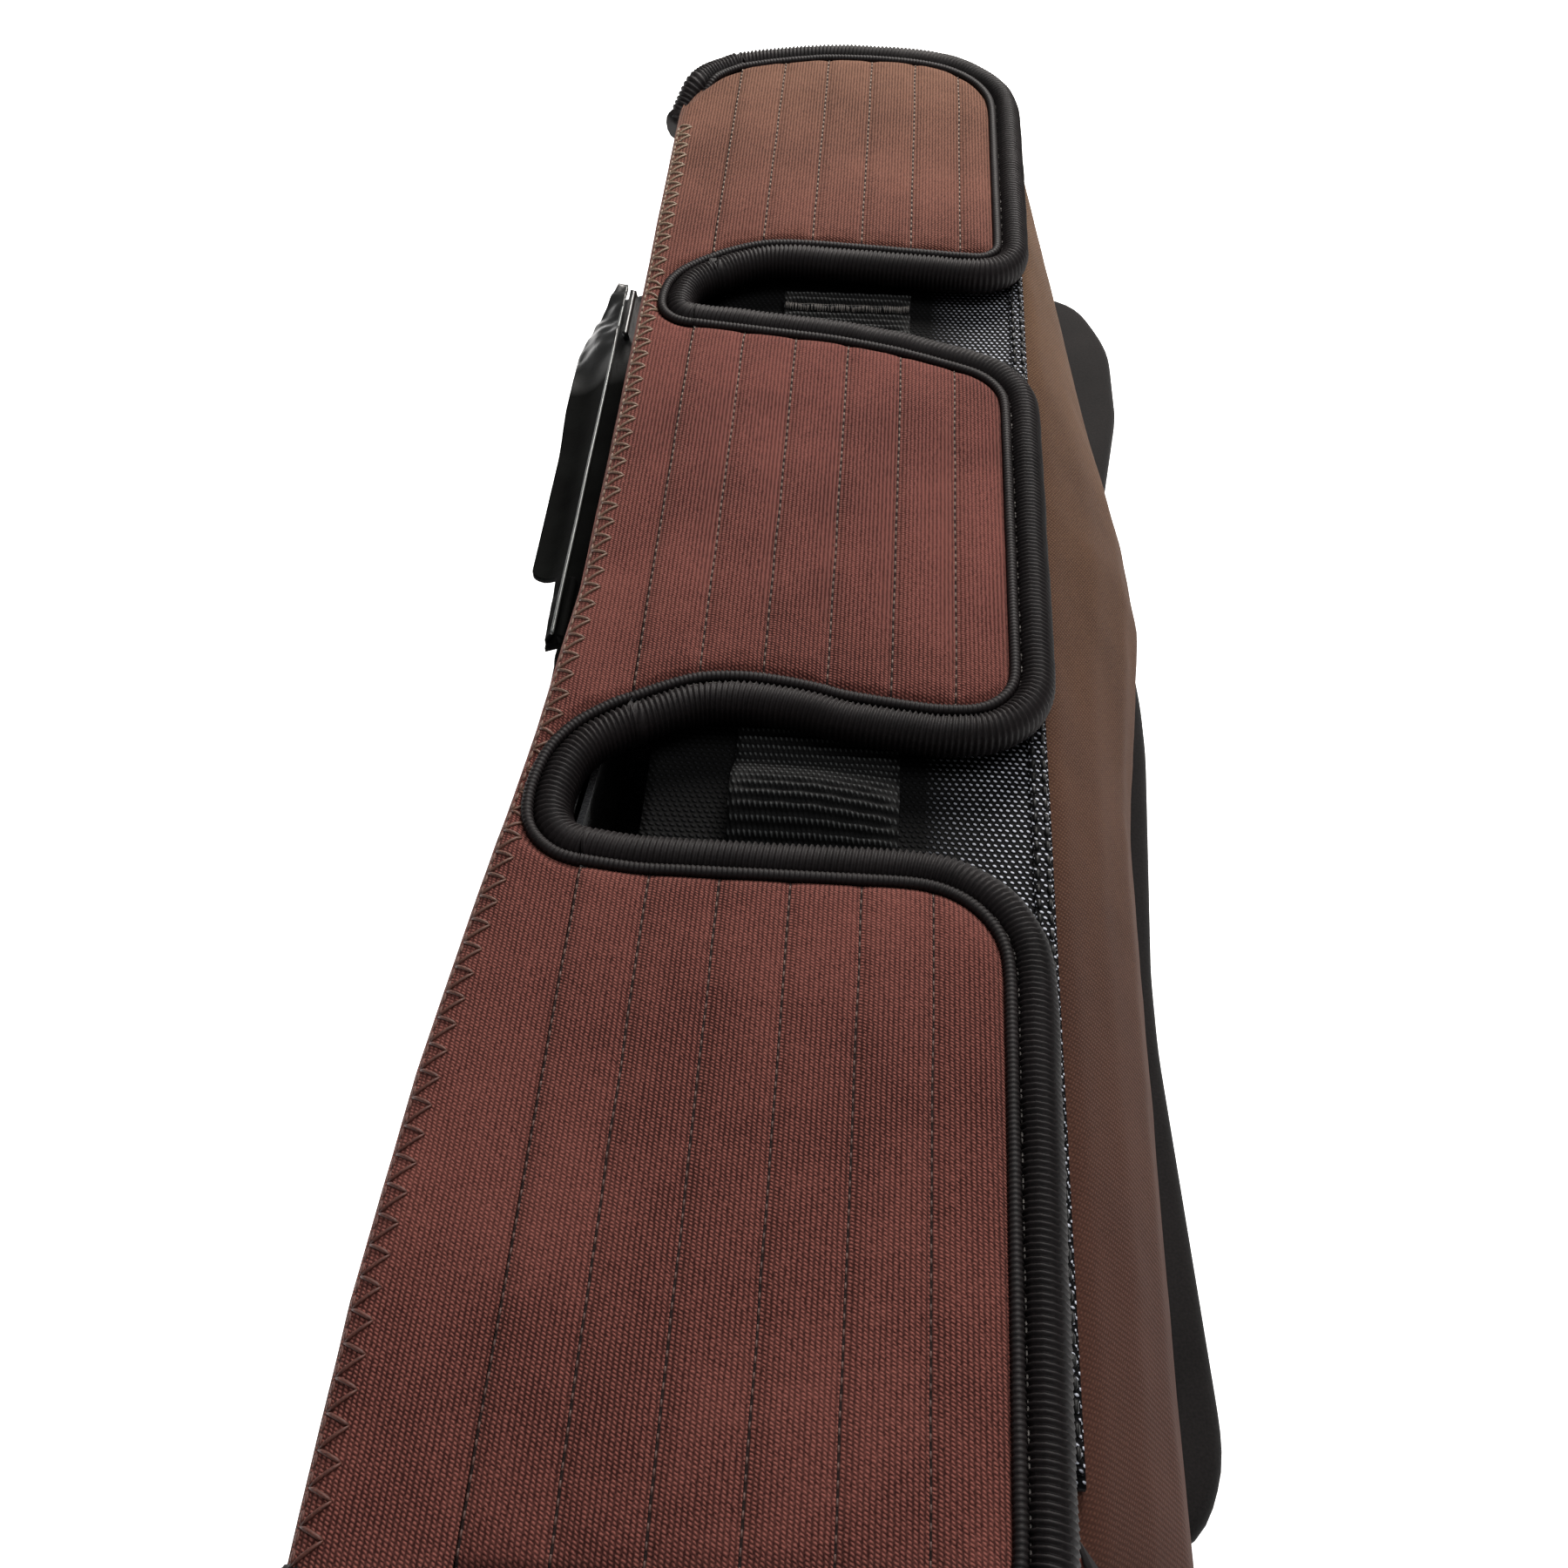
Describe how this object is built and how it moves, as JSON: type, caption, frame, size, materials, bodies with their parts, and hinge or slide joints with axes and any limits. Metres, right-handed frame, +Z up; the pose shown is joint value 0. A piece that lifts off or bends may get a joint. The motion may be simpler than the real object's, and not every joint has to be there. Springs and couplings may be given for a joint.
{
  "type": "padded gig bag",
  "caption": "Padded gig bag for a compact brass instrument, with quilted finger flaps over a mesh apron, a webbing carry strap, a side handle and shoulder straps.",
  "frame": {"origin": "under the middle of the bag, on the surface it lies on", "axes": "+X across the front to the right, +Y from the foot end to the head end, +Z up through the quilted front"},
  "size_m": [0.19, 0.524, 0.0998],
  "materials": {
    "brown_knit": "brushed nylon knit laminated to foam",
    "black_knit": "smooth black knit",
    "binding": "ribbed stretch binding",
    "foam": "closed-cell foam",
    "lining": "brushed lining",
    "fleece": "looped fleece",
    "hook_tape": "hook tape",
    "mesh": "coarse two-tone woven mesh",
    "webbing": "ribbed nylon webbing",
    "vinyl": "soft glossy vinyl",
    "buckle_plastic": "moulded acetal",
    "board": "thin polyethylene board"
  },
  "bodies": {
    "bag": {"apron_edge_tape": "webbing", "back_board": "board", "back_foam": "foam", "back_panel": "black_knit", "foot_left_piping": "binding", "foot_right_piping": "binding", "foot_wall": "brown_knit", "foot_wall_foam": "foam", "handle_tab_foot": "vinyl", "handle_tab_head": "vinyl", "head_left_piping": "binding", "head_right_piping": "binding", "head_wall": "brown_knit", "head_wall_foam": "foam", "left_strap_anchor": "black_knit", "left_strap_buckle": "buckle_plastic", "left_strap_fleece": "fleece", "left_strap_pad": "black_knit", "left_strap_tail": "webbing", "left_wall": "brown_knit", "left_wall_foam": "foam", "lining": "lining", "lower_back_pad": "mesh", "lower_flap_loop_strip": "fleece", "lower_slot_end_binding": "binding", "margin_cover": "brown_knit", "margin_foam": "foam", "margin_foot_binding": "binding", "margin_head_binding": "binding", "mesh_apron": "mesh", "middle_flap_loop_strip": "fleece", "right_strap_anchor": "black_knit", "right_strap_buckle": "buckle_plastic", "right_strap_fleece": "fleece", "right_strap_pad": "black_knit", "right_strap_tail": "webbing", "right_wall": "brown_knit", "right_wall_foam": "foam", "strap_yoke": "black_knit", "upper_back_pad": "mesh", "upper_flap_loop_strip": "fleece", "upper_slot_end_binding": "binding", "webbing_strap": "webbing"},
    "upper_flap": {"upper_flap_binding": "binding", "upper_flap_cover": "brown_knit", "upper_flap_foam": "foam", "upper_flap_hook_strip": "hook_tape", "upper_flap_lining": "lining"},
    "middle_flap": {"middle_flap_binding": "binding", "middle_flap_cover": "brown_knit", "middle_flap_foam": "foam", "middle_flap_hook_strip": "hook_tape", "middle_flap_lining": "lining"},
    "lower_flap": {"lower_flap_binding": "binding", "lower_flap_cover": "brown_knit", "lower_flap_foam": "foam", "lower_flap_hook_strip": "hook_tape", "lower_flap_lining": "lining"},
    "side_handle": {"side_handle_grip": "vinyl"}
  },
  "joints": [
    {"name": "upper_flap_fold", "type": "hinge", "parent": "bag", "child": "upper_flap", "pos_m": [-0.043, 0.18275, 0.0998], "axis": [0, -1, 0], "range_deg": [0, 165]},
    {"name": "middle_flap_fold", "type": "hinge", "parent": "bag", "child": "middle_flap", "pos_m": [-0.045, 0.01475, 0.0998], "axis": [0, -1, 0], "range_deg": [0, 165]},
    {"name": "lower_flap_fold", "type": "hinge", "parent": "bag", "child": "lower_flap", "pos_m": [-0.05, -0.1791, 0.0998], "axis": [0, -1, 0], "range_deg": [0, 165]},
    {"name": "side_handle_swing", "type": "hinge", "parent": "bag", "child": "side_handle", "pos_m": [-0.069, 0.048, 0.087], "axis": [0, 1, 0], "range_deg": [0, 75]}
  ]
}
